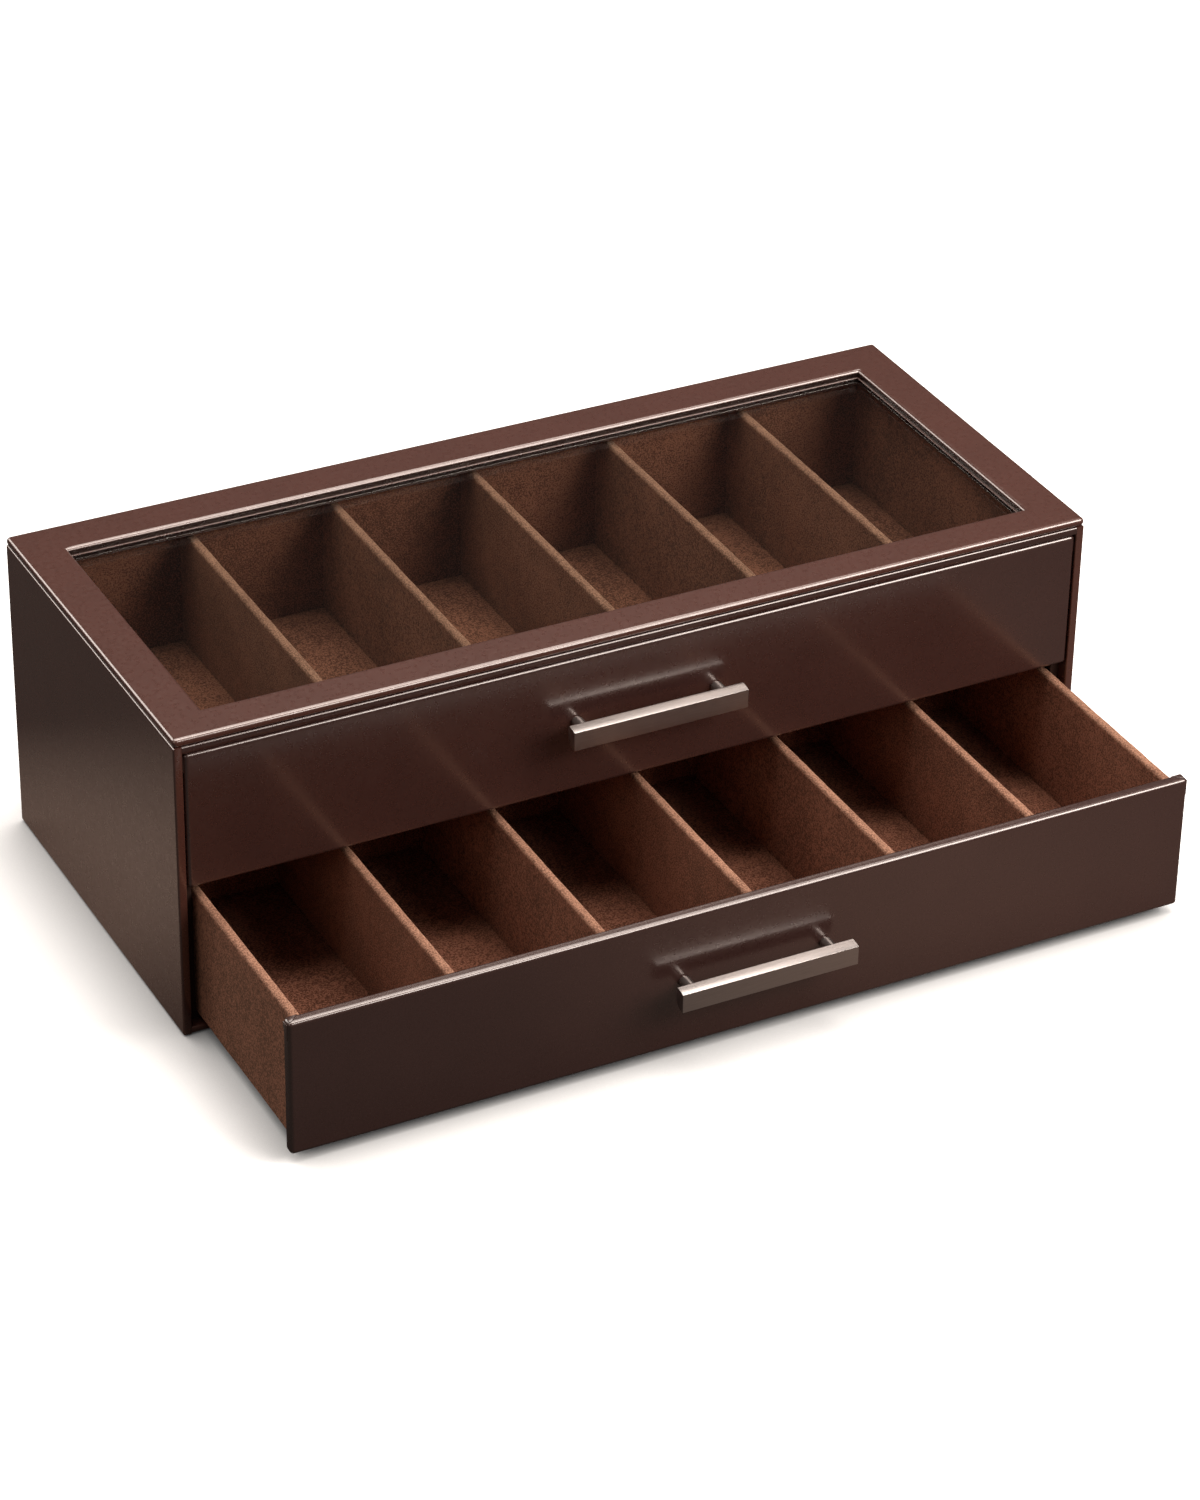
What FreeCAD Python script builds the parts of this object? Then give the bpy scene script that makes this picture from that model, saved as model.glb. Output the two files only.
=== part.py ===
"""Two-drawer storage box for sunglasses, with a glazed top.

A wrapped board case holds two drawers, one above the other. Each drawer has six suede slots and a
brushed bar handle. Millimetres, +Z up, the drawers open towards -Y. The origin is the centre of the
case's underside. The lower drawer stands open, as it does in use; the upper one is closed.
"""
import FreeCAD, Part
import Sketcher
import os

PARTS_FOLDER = "parts"

# Driving dimensions, each written once. Everything else is worked out from them.
SIZES = {
    # case
    "case_width": 445.0,
    "case_depth": 193.0,
    "case_height": 150.0,
    "panel_thick": 4.0,
    "bottom_thick": 3.0,
    "top_frame_thick": 4.0,
    "rail_thick": 3.5,
    "felt_thick": 0.8,
    "felt_inset": 5.0,
    "edge_round": 1.2,
    # glazed window
    "window_side": 21.0,
    "window_front": 19.5,
    "window_back": 22.5,
    "glass_thick": 2.0,
    "glass_lip": 6.0,
    "glass_play": 0.3,
    # guides inside the case
    "shelf_thick": 4.0,
    "guide_thick": 4.4,
    "slide_gap": 0.3,
    "side_play": 0.6,
    "back_play": 1.0,
    "stop_gap": 0.3,
    # drawers
    "front_thick": 6.0,
    "front_gap": 0.7,
    "tier_gap": 4.3,
    "body_lift": 2.8,
    "body_drop": 1.8,
    "wall_thick": 4.5,
    "floor_thick": 3.0,
    "suede_round": 1.6,
    "lower_open": 104.0,
    # bar handles
    "bar_length": 85.5,
    "bar_height": 10.0,
    "bar_depth": 6.0,
    "bar_reach": 15.0,
    "bar_round": 5.0,
    "bar_bevel": 0.4,
    "upper_handle_rise": 1.8,
    "lower_handle_rise": 0.2,
    "post_inset": 8.4,
    "post_diameter": 5.6,
    "socket_depth": 2.5,
    "screw_diameter": 4.0,
    "screw_grip": 8.0,
    "thread_play": 0.02,
    "screw_hole": 4.5,
    "head_diameter": 7.5,
    "head_height": 2.2,
}

SLOT_COUNT = 6

doc = FreeCAD.newDocument("sunglasses_box")
sheet = doc.addObject("Spreadsheet::Sheet", "sizes")
for row, (name, value) in enumerate(SIZES.items(), start=1):
    sheet.set(f"A{row}", name)
    sheet.set(f"B{row}", str(value))
    sheet.setAlias(f"B{row}", name)
doc.recompute()

nodes = []


def size(name):
    """The sheet's cell of that name, as a term of an expression."""
    return f"sizes.{name}"


def total(*terms):
    """Terms added up, as one bracketed expression."""
    return "(" + " + ".join(terms) + ")"


def less(first, *rest):
    """The first term with the others taken from it."""
    return "(" + " - ".join([first, *rest]) + ")"


def half(term):
    return f"({term} / 2)"


def limited(radius, wall):
    """A rounding radius that never passes its share of the wall that it runs round."""
    return f"min({size(radius)}; {wall} * 0.45)"


# Levels and places that several pieces share
HALF_WIDTH = half(size("case_width"))
FRONT_FACE = f"(-{size('case_depth')} / 2)"
BACK_FACE = half(size("case_depth"))
INNER_HALF = less(HALF_WIDTH, size("panel_thick"))
INNER_WIDTH = f"(2 * {INNER_HALF})"
BACK_INSIDE = less(BACK_FACE, size("panel_thick"))
BOARD_BASE = size("felt_thick")
BOTTOM_TOP = total(BOARD_BASE, size("bottom_thick"))
FRAME_BASE = less(size("case_height"), size("top_frame_thick"))
RAIL_BASE = less(FRAME_BASE, size("rail_thick"))
LOWER_FRONT_BASE = total(BOTTOM_TOP, size("front_gap"))
UPPER_FRONT_TOP = less(RAIL_BASE, size("front_gap"))
FRONT_HEIGHT = f"(({UPPER_FRONT_TOP} - {LOWER_FRONT_BASE} - {size('tier_gap')}) / 2)"
FRONT_WIDTH = f"(2 * {less(INNER_HALF, size('front_gap'))})"
UPPER_FRONT_BASE = less(UPPER_FRONT_TOP, FRONT_HEIGHT)
GUIDE_FRONT = total(FRONT_FACE, size("front_thick"), size("stop_gap"))
GUIDE_DEPTH = less(BACK_INSIDE, GUIDE_FRONT)
LINER_TOP = total(LOWER_FRONT_BASE, less(size("body_lift"), size("slide_gap")))
SHELF_TOP = total(UPPER_FRONT_BASE, less(size("body_lift"), size("slide_gap")))
SHELF_BASE = less(SHELF_TOP, size("shelf_thick"))
BODY_HEIGHT = less(FRONT_HEIGHT, size("body_lift"), size("body_drop"))
BODY_HALF = less(INNER_HALF, size("guide_thick"), size("side_play"))
BODY_DEPTH = less(BACK_INSIDE, size("back_play"), total(FRONT_FACE, size("front_thick")))
SLOT_WIDTH = (f"((2 * {BODY_HALF} - {SLOT_COUNT + 1} * {size('wall_thick')}) / {SLOT_COUNT})")
SLOT_DEPTH = less(BODY_DEPTH, size("wall_thick"))


def new_body(label, x, y, z):
    """An empty body whose own origin stands at the given place."""
    body = doc.addObject("PartDesign::Body", label)
    body.Label = label
    for axis, place in zip("xyz", (x, y, z)):
        body.setExpression(f".Placement.Base.{axis}", place)
    nodes.append(body)
    return body


def new_sketch(body, role, height=None):
    """A sketch on one of the body's origin planes, raised along its normal if a height is given."""
    sketch = body.newObject("Sketcher::SketchObject", f"{body.Label}_sketch")
    plane = next(item for item in body.Origin.OriginFeatures if item.Role == role)
    sketch.AttachmentSupport = [(plane, "")]
    sketch.MapMode = "FlatFace"
    if height:
        sketch.setExpression(".AttachmentOffset.Base.z", height)
    return sketch


def bind(sketch, constraint, expression):
    """Adds a dimension to a sketch and ties it to the sheet."""
    index = sketch.addConstraint(constraint)
    sketch.setExpression(f"Constraints[{index}]", expression)


def add_rectangle(sketch, size_x, size_y, low_x=None, low_y=None):
    """A rectangle whose low corner is the sketch's origin, or stands off it by low_x and low_y."""
    shift = 1.0 if low_x else 0.0
    corners = [(shift, shift), (shift + 9, shift), (shift + 9, shift + 9), (shift, shift + 9)]
    points = [FreeCAD.Vector(x, y, 0) for x, y in corners]
    first = sketch.GeometryCount
    for start, end in zip(points, points[1:] + points[:1]):
        sketch.addGeometry(Part.LineSegment(start, end), False)
    for side in range(4):
        sketch.addConstraint(Sketcher.Constraint("Coincident", first + side, 2, first + (side + 1) % 4, 1))
    for side in (0, 2):
        sketch.addConstraint(Sketcher.Constraint("Horizontal", first + side))
        sketch.addConstraint(Sketcher.Constraint("Vertical", first + side + 1))
    if low_x:
        bind(sketch, Sketcher.Constraint("DistanceX", -1, 1, first, 1, shift), low_x)
        bind(sketch, Sketcher.Constraint("DistanceY", -1, 1, first, 1, shift), low_y)
    else:
        sketch.addConstraint(Sketcher.Constraint("Coincident", first, 1, -1, 1))
    bind(sketch, Sketcher.Constraint("DistanceX", first, 1, first, 2, 9), size_x)
    bind(sketch, Sketcher.Constraint("DistanceY", first + 1, 1, first + 1, 2, 9), size_y)


def add_circle(sketch, x, y, diameter):
    """A circle whose centre stands at x and y from the sketch's origin."""
    first = sketch.GeometryCount
    sketch.addGeometry(Part.Circle(FreeCAD.Vector(5, 5, 0), FreeCAD.Vector(0, 0, 1), 1), False)
    bind(sketch, Sketcher.Constraint("DistanceX", -1, 1, first, 3, 5), x)
    bind(sketch, Sketcher.Constraint("DistanceY", -1, 1, first, 3, 5), y)
    bind(sketch, Sketcher.Constraint("Diameter", first, 2), diameter)


def pad(body, sketch, length):
    feature = body.newObject("PartDesign::Pad", f"{body.Label}_pad")
    feature.Profile = sketch
    feature.setExpression("Length", length)
    sketch.Visibility = False
    doc.recompute()
    return feature


def pocket(body, sketch, depth, backwards=False):
    """Cuts the sketch into the body, and makes sure that it did cut."""
    before = body.Shape.Volume
    feature = body.newObject("PartDesign::Pocket", f"{body.Label}_pocket")
    feature.Profile = sketch
    feature.Reversed = backwards
    feature.setExpression("Length", depth)
    doc.recompute()
    if body.Shape.Volume >= before:
        raise RuntimeError(f"the pocket in {body.Label} cuts nothing")
    return feature


def round_edges(body, radius, chosen):
    """Fillets the edges of the body's last feature that chosen says yes to."""
    base = body.Tip
    names = [f"Edge{i}" for i, edge in enumerate(base.Shape.Edges, start=1) if chosen(edge, base.Shape)]
    if not names:
        raise RuntimeError(f"no edge of {body.Label} is rounded")
    feature = body.newObject("PartDesign::Fillet", f"{body.Label}_round")
    feature.Base = (base, names)
    feature.setExpression("Radius", radius)
    doc.recompute()
    return feature


def near(value, target):
    return abs(value - target) < 1e-4


def runs_along(edge, axis):
    """True for a straight edge along that axis."""
    box = edge.BoundBox
    lengths = {"x": box.XLength, "y": box.YLength, "z": box.ZLength}
    return all(near(length, 0) for name, length in lengths.items() if name != axis)


def on_top(edge, shape):
    return near(edge.BoundBox.ZMin, shape.BoundBox.ZMax)


def on_bottom(edge, shape):
    return near(edge.BoundBox.ZMax, shape.BoundBox.ZMin)


def on_low_x(edge, shape):
    return near(edge.BoundBox.XMax, shape.BoundBox.XMin)


def on_high_x(edge, shape):
    return near(edge.BoundBox.XMin, shape.BoundBox.XMax)


def on_front(edge, shape):
    return near(edge.BoundBox.YMax, shape.BoundBox.YMin)


def on_back(edge, shape):
    return near(edge.BoundBox.YMin, shape.BoundBox.YMax)


def every_edge(edge, shape):
    return True


def top_or_outline(edge, shape):
    """The top rims of a window board, and every edge of its outline."""
    places = (on_top, on_low_x, on_high_x, on_front, on_back)
    return any(place(edge, shape) for place in places)


def top_ridge(edge, shape):
    """The two long top edges of a thin wall."""
    long_axis = "x" if shape.BoundBox.XLength > shape.BoundBox.YLength else "y"
    return on_top(edge, shape) and runs_along(edge, long_axis)


def board(label, size_x, size_y, size_z, x, y, z):
    """A plain board with its low corner at x, y, z."""
    body = new_body(label, x, y, z)
    sketch = new_sketch(body, "XY_Plane")
    add_rectangle(sketch, size_x, size_y)
    pad(body, sketch, size_z)
    return body


def window_board(label, size_x, size_y, thick, x, z, margin_side, margin_back):
    """A board that starts at the case's front face and has the window cut through it."""
    body = new_body(label, x, FRONT_FACE, z)
    sketch = new_sketch(body, "XY_Plane")
    add_rectangle(sketch, size_x, size_y)
    add_rectangle(sketch, less(size_x, f"2 * {margin_side}"),
                  less(size_y, size("window_front"), margin_back), margin_side, size("window_front"))
    pad(body, sketch, thick)
    return body


# Case: two sides, a back and a bottom, glued together and wrapped in one dark skin
SIDE_HEIGHT = less(FRAME_BASE, BOARD_BASE)
CASE_INSIDE_DEPTH = less(BACK_INSIDE, FRONT_FACE)
PANEL_ROUND = limited("edge_round", size("panel_thick"))
for side, low_x, outer_rim in (("left", f"(-{HALF_WIDTH})", on_low_x), ("right", INNER_HALF, on_high_x)):
    panel = board(f"{side}_side_panel", size("panel_thick"), size("case_depth"), SIDE_HEIGHT,
                  low_x, FRONT_FACE, BOARD_BASE)
    round_edges(panel, PANEL_ROUND, outer_rim)

back = board("back_panel", INNER_WIDTH, size("panel_thick"), SIDE_HEIGHT,
             f"(-{INNER_HALF})", BACK_INSIDE, BOARD_BASE)
round_edges(back, PANEL_ROUND, lambda edge, shape: on_back(edge, shape) and runs_along(edge, "x"))

bottom = board("bottom_panel", INNER_WIDTH, CASE_INSIDE_DEPTH, size("bottom_thick"),
               f"(-{INNER_HALF})", FRONT_FACE, BOARD_BASE)
round_edges(bottom, limited("edge_round", size("bottom_thick")),
            lambda edge, shape: on_front(edge, shape) and on_bottom(edge, shape))

board("base_felt", f"({size('case_width')} - 2 * {size('felt_inset')})",
      f"({size('case_depth')} - 2 * {size('felt_inset')})", size("felt_thick"),
      f"(-{less(HALF_WIDTH, size('felt_inset'))})", total(FRONT_FACE, size("felt_inset")), "0")

# Top: a rail frame between the sides carries the glass, and a wrapped frame is glued over both
RAIL_SIDE = less(size("window_side"), size("panel_thick"))
RAIL_BACK = less(size("window_back"), size("panel_thick"))
rail = window_board("rail_frame", INNER_WIDTH, CASE_INSIDE_DEPTH, size("rail_thick"),
                    f"(-{INNER_HALF})", RAIL_BASE, RAIL_SIDE, RAIL_BACK)
SEAT_WIDTH = total(size("glass_lip"), size("glass_play"))
SEAT_SIDE = less(RAIL_SIDE, SEAT_WIDTH)
SEAT_FRONT = less(size("window_front"), SEAT_WIDTH)
seat = new_sketch(rail, "XY_Plane", size("rail_thick"))
add_rectangle(seat, f"({INNER_WIDTH} - 2 * {SEAT_SIDE})",
              less(CASE_INSIDE_DEPTH, SEAT_FRONT, less(RAIL_BACK, SEAT_WIDTH)), SEAT_SIDE, SEAT_FRONT)
pocket(rail, seat, size("glass_thick"))
round_edges(rail, limited("edge_round", less(size("rail_thick"), size("glass_thick"))),
            lambda edge, shape: on_front(edge, shape) and on_top(edge, shape))

GLASS_SIDE = less(size("window_side"), size("glass_lip"))
GLASS_FRONT = less(size("window_front"), size("glass_lip"))
GLASS_BACK = less(size("window_back"), size("glass_lip"))
board("glass_pane", f"({size('case_width')} - 2 * {GLASS_SIDE})",
      less(size("case_depth"), GLASS_FRONT, GLASS_BACK), size("glass_thick"),
      f"(-{less(HALF_WIDTH, GLASS_SIDE)})", total(FRONT_FACE, GLASS_FRONT),
      less(FRAME_BASE, size("glass_thick")))

top_frame = window_board("top_frame", size("case_width"), size("case_depth"), size("top_frame_thick"),
                         f"(-{HALF_WIDTH})", FRAME_BASE, size("window_side"), size("window_back"))
round_edges(top_frame, limited("edge_round", size("top_frame_thick")), top_or_outline)

# Guides: the liner and the shelf carry the drawers, the side guides steer them and stop their fronts
board("floor_liner", INNER_WIDTH, GUIDE_DEPTH, less(LINER_TOP, BOTTOM_TOP),
      f"(-{INNER_HALF})", GUIDE_FRONT, BOTTOM_TOP)
board("middle_shelf", INNER_WIDTH, GUIDE_DEPTH, size("shelf_thick"),
      f"(-{INNER_HALF})", GUIDE_FRONT, SHELF_BASE)
for tier, base, top in (("lower", LINER_TOP, SHELF_BASE), ("upper", SHELF_TOP, RAIL_BASE)):
    for side, low_x in (("left", f"(-{INNER_HALF})"), ("right", less(INNER_HALF, size("guide_thick")))):
        board(f"{tier}_{side}_guide", size("guide_thick"), GUIDE_DEPTH, less(top, base),
              low_x, GUIDE_FRONT, base)


def cylinder(name, x, y, z, radius, length):
    """A cylinder that lies along +Y, its low end at x, y, z."""
    solid = doc.addObject("Part::Cylinder", name)
    solid.Placement.Rotation = FreeCAD.Rotation(FreeCAD.Vector(1, 0, 0), -90)
    for axis, place in zip("xyz", (x, y, z)):
        solid.setExpression(f".Placement.Base.{axis}", place)
    solid.setExpression("Radius", radius)
    solid.setExpression("Height", length)
    return solid


def combine(kind, name, first, second):
    """A cut or a fusion of two solids."""
    result = doc.addObject(f"Part::{kind}", name)
    result.Base = first
    result.Tool = second
    return result


# Each post stands in from the bar's end, so the pair moves with the bar's length
POST_OFFSET = less(half(size("bar_length")), size("post_inset"))
POST_SIDES = (("left", f"(-{POST_OFFSET})"), ("right", POST_OFFSET))


def add_drawer_box(tier, face, base):
    """Front, sides, back, floor and dividers of a drawer whose front face is at y = face."""
    front = new_body(f"{tier}_front", f"(-{half(FRONT_WIDTH)})", face, base)
    outline = new_sketch(front, "XY_Plane")
    add_rectangle(outline, FRONT_WIDTH, size("front_thick"))
    pad(front, outline, FRONT_HEIGHT)
    round_edges(front, limited("edge_round", size("front_thick")), every_edge)
    holes = new_sketch(front, "XZ_Plane")
    hole_z = total(half(FRONT_HEIGHT), size(f"{tier}_handle_rise"))
    for _, place in POST_SIDES:
        add_circle(holes, total(half(FRONT_WIDTH), place), hole_z, size("screw_hole"))
    pocket(front, holes, size("front_thick"))

    box_front = total(face, size("front_thick"))
    box_base = total(base, size("body_lift"))
    floor_top = total(box_base, size("floor_thick"))
    inner_half = less(BODY_HALF, size("wall_thick"))
    inner_width = f"(2 * {inner_half})"
    wall_height = less(BODY_HEIGHT, size("floor_thick"))
    ridge_round = limited("suede_round", size("wall_thick"))
    walls = [
        board(f"{tier}_left_wall", size("wall_thick"), BODY_DEPTH, BODY_HEIGHT,
              f"(-{BODY_HALF})", box_front, box_base),
        board(f"{tier}_right_wall", size("wall_thick"), BODY_DEPTH, BODY_HEIGHT,
              inner_half, box_front, box_base),
        board(f"{tier}_back_wall", inner_width, size("wall_thick"), wall_height,
              f"(-{inner_half})", total(box_front, SLOT_DEPTH), floor_top),
    ]
    for number in range(1, SLOT_COUNT):
        low_x = f"({number} * ({SLOT_WIDTH} + {size('wall_thick')}) - {BODY_HALF})"
        walls.append(board(f"{tier}_divider_{number}", size("wall_thick"), SLOT_DEPTH, wall_height,
                           low_x, box_front, floor_top))
    for wall in walls:
        round_edges(wall, ridge_round, top_ridge)
    board(f"{tier}_floor", inner_width, BODY_DEPTH, size("floor_thick"),
          f"(-{inner_half})", box_front, box_base)


def add_handle(tier, face, base):
    """A bar on two posts, each held by a screw from inside the drawer."""
    axis_z = total(base, half(FRONT_HEIGHT), size(f"{tier}_handle_rise"))
    bar_front = less(face, size("bar_reach"))
    bar_back = total(bar_front, size("bar_depth"))
    bar = board(f"{tier}_handle_bar", size("bar_length"), size("bar_depth"), size("bar_height"),
                f"(-{half(size('bar_length'))})", bar_front, less(axis_z, half(size("bar_height"))))
    round_edges(bar, f"min({size('bar_round')}; {size('bar_height')} * 0.6; {size('bar_depth')} * 0.85)",
                lambda edge, shape: on_back(edge, shape) and on_bottom(edge, shape))
    round_edges(bar, size("bar_bevel"), lambda edge, shape: on_front(edge, shape)
                or (on_back(edge, shape) and on_top(edge, shape)))
    sockets = new_sketch(bar, "XZ_Plane", f"(-{size('bar_depth')})")
    for _, place in POST_SIDES:
        add_circle(sockets, total(half(size("bar_length")), place), half(size("bar_height")),
                   size("post_diameter"))
    pocket(bar, sockets, size("socket_depth"), backwards=True)

    post_start = less(bar_back, size("socket_depth"))
    bore_radius = total(half(size("screw_diameter")), size("thread_play"))
    screws = []
    for side, place in POST_SIDES:
        rod = cylinder(f"{tier}_{side}_rod", place, post_start, axis_z,
                       half(size("post_diameter")), less(face, post_start))
        bore = cylinder(f"{tier}_{side}_bore", place, less(face, size("screw_grip")), axis_z,
                        bore_radius, size("screw_grip"))
        nodes.append(combine("Cut", f"{tier}_{side}_handle_post", rod, bore))
        shank_start = total(less(face, size("screw_grip")), half(size("screw_diameter")))
        shank = cylinder(f"{tier}_{side}_shank", place, shank_start, axis_z,
                         half(size("screw_diameter")), less(total(face, size("front_thick")), shank_start))
        head = cylinder(f"{tier}_{side}_head", place, total(face, size("front_thick")), axis_z,
                        half(size("head_diameter")), size("head_height"))
        screws.append(combine("Fuse", f"{tier}_{side}_screw", shank, head))
    pair = doc.addObject("Part::Compound", f"{tier}_handle_screws")
    pair.Links = screws
    nodes.append(pair)


# Drawers: the lower one stands open, the upper one is shut
for tier, face, base in (("lower", less(FRONT_FACE, size("lower_open")), LOWER_FRONT_BASE),
                         ("upper", FRONT_FACE, UPPER_FRONT_BASE)):
    add_drawer_box(tier, face, base)
    add_handle(tier, face, base)

doc.recompute()
for item in doc.Objects:
    if "Invalid" in item.State or "Error" in item.State:
        raise RuntimeError(f"{item.Name} was not computed: {item.State}")
os.makedirs(PARTS_FOLDER, exist_ok=True)
for node in nodes:
    if node.Shape.isNull() or not node.Shape.isValid():
        raise RuntimeError(f"{node.Label} has no valid shape")
for node in nodes:
    node.Shape.exportStep(os.path.join(PARTS_FOLDER, f"{node.Label}.step"))
print(len(nodes), "nodes written")
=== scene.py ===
import math

import bmesh
import bpy
from mathutils import Matrix, Vector


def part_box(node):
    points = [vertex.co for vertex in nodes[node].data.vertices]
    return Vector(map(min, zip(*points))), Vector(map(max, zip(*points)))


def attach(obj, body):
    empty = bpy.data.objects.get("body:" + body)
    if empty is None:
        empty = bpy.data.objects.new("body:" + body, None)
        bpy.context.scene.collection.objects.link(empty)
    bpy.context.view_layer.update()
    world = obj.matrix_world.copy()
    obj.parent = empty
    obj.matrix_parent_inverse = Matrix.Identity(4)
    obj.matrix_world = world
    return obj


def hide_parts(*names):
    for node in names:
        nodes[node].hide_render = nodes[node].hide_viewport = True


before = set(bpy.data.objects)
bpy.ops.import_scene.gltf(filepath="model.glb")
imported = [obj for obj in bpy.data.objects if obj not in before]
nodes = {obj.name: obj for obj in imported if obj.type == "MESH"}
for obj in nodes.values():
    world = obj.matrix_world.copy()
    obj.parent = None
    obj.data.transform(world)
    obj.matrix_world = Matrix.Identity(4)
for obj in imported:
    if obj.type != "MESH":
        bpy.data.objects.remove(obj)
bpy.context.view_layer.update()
MM = 0.001

# Studio: a white paper floor, a wide soft light overhead, others in front, at the left and behind, and
# a camera with a long lens that looks down on the box from the front left.
scene = bpy.context.scene
scene.view_settings.view_transform = "Standard"
FLOOR_BOUNCE = (0.042, 0.039, 0.037)
# Painted light: the floor's colour for bounced and reflected rays, with brighter pools beside the box.
LEFT_POOL = ((-0.215, 0.03, 0.0), 0.15, (0.30, 0.235, 0.20))
FRONT_POOL = ((0.12, -0.27, 0.0), 0.22, (0.112, 0.084, 0.072))
CONTACT_REACH = 0.036


def shader_nodes(name):
    """A new material with an empty Principled shader, its node adder and its link maker."""
    material = bpy.data.materials.new(name)
    material.use_nodes = True
    tree = material.node_tree
    shader = tree.nodes["Principled BSDF"]

    def add(kind, **values):
        node = tree.nodes.new(kind)
        for key, value in values.items():
            if hasattr(node, key):
                setattr(node, key, value)
            else:
                node.inputs[key.replace("_", " ")].default_value = value
        return node

    return material, shader, add, tree.links.new


def paper_white():
    """Matt studio paper, faintly mottled, with a painted contact shadow close to the box. It throws little light
    back, with painted pools of light beside the box.
    """
    material, shader, add, link = shader_nodes("studio_paper")
    place = add("ShaderNodeTexCoord")
    mottle = add("ShaderNodeTexNoise", Scale=3.0, Detail=2.0)
    shade = add("ShaderNodeValToRGB")
    shade.color_ramp.elements[0].color = (0.86, 0.86, 0.86, 1)
    shade.color_ramp.elements[1].color = (0.9, 0.9, 0.9, 1)
    link(place.outputs["Object"], mottle.inputs["Vector"])
    link(mottle.outputs[0], shade.inputs[0])
    # Painted contact shadow: ambient occlusion darkens the paper's colour and glow close to the box.
    contact = add("ShaderNodeAmbientOcclusion", samples=16, Distance=CONTACT_REACH)
    link(shade.outputs[0], contact.inputs["Color"])
    link(contact.outputs["Color"], shader.inputs["Base Color"])
    shader.inputs["Roughness"].default_value = 0.9
    shader.inputs["Specular IOR Level"].default_value = 0.0
    link(contact.outputs["Color"], shader.inputs["Emission Color"])
    shader.inputs["Emission Strength"].default_value = 0.3
    dim = add("ShaderNodeBsdfDiffuse")
    bounce = add("ShaderNodeRGB").outputs[0]
    bounce.default_value = (*FLOOR_BOUNCE, 1)
    for centre, reach, brighter in (LEFT_POOL, FRONT_POOL):
        far = add("ShaderNodeVectorMath", operation="DISTANCE")
        far.inputs[1].default_value = centre
        fade = add("ShaderNodeMapRange", From_Min=0.04, From_Max=reach)
        pool = add("ShaderNodeMix", data_type="RGBA")
        pool.inputs[6].default_value = (*brighter, 1)
        link(place.outputs["Object"], far.inputs[0])
        link(far.outputs["Value"], fade.inputs["Value"])
        link(fade.outputs[0], pool.inputs[0])
        link(bounce, pool.inputs[7])
        bounce = pool.outputs[2]
    link(bounce, dim.inputs["Color"])
    seen = add("ShaderNodeLightPath")
    choose = add("ShaderNodeMixShader")
    link(seen.outputs["Is Camera Ray"], choose.inputs[0])
    link(dim.outputs[0], choose.inputs[1])
    link(shader.outputs[0], choose.inputs[2])
    link(choose.outputs[0], material.node_tree.nodes["Material Output"].inputs["Surface"])
    return material


bpy.ops.object.select_all(action="DESELECT")
bpy.ops.mesh.primitive_plane_add(size=14, location=(0, 0, 0))
floor = bpy.context.object
floor.name = "studio_floor"
floor.data.materials.append(paper_white())


def softbox(name, place, target, width, height, radiance, tint=(1, 1, 1), mirrored=True):
    """A rectangular soft light with the given brightness per area. Gloss shows it if it is mirrored."""
    data = bpy.data.lights.new(name, "AREA")
    data.shape = "RECTANGLE"
    data.size, data.size_y = width, height
    data.energy = radiance * math.pi * width * height
    data.color = tint
    light = bpy.data.objects.new(name, data)
    light.location = place
    light.rotation_euler = (Vector(target) - Vector(place)).to_track_quat("-Z", "Y").to_euler()
    light.visible_glossy = mirrored
    scene.collection.objects.link(light)


WARM = (1.0, 0.93, 0.87)
softbox("key_strip", (0.62, -0.60, 1.45), (0.0, -0.08, 0.1), 0.36, 2.0, 9.0, WARM)
softbox("front_strip", (0.64, -1.20, 1.03), (0.0, -0.1, 0.14), 0.75, 0.5, 10.5, WARM)
softbox("overhead_softbox", (-0.08, 0.25, 1.5), (0.0, 0.0, 0.1), 1.9, 1.2, 4.2, WARM)
softbox("front_right_softbox", (0.78, -0.72, 0.45), (0.15, -0.1, 0.08), 0.5, 0.5, 10.0, WARM,
        mirrored=False)
softbox("left_fill", (-1.7, -0.9, 1.1), (-0.2, 0.0, 0.05), 1.0, 0.8, 1.5, (1.0, 0.86, 0.76))
softbox("back_left_softbox", (-0.95, 1.35, 0.92), (-0.2, 0.0, 0.14), 0.75, 0.65, 5.5, WARM)

world = bpy.data.worlds.new("studio_world")
world.use_nodes = True
scene.world = world
sky = world.node_tree
ambient = sky.nodes["Background"]
ambient.inputs["Color"].default_value = (*WARM, 1)
ambient.inputs["Strength"].default_value = 0.11
backdrop = sky.nodes.new("ShaderNodeBackground")
backdrop.inputs["Strength"].default_value = 1.0
seen = sky.nodes.new("ShaderNodeLightPath")
choose = sky.nodes.new("ShaderNodeMixShader")
sky.links.new(seen.outputs["Is Camera Ray"], choose.inputs[0])
sky.links.new(ambient.outputs[0], choose.inputs[1])
sky.links.new(backdrop.outputs[0], choose.inputs[2])
sky.links.new(choose.outputs[0], sky.nodes["World Output"].inputs[0])

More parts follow.
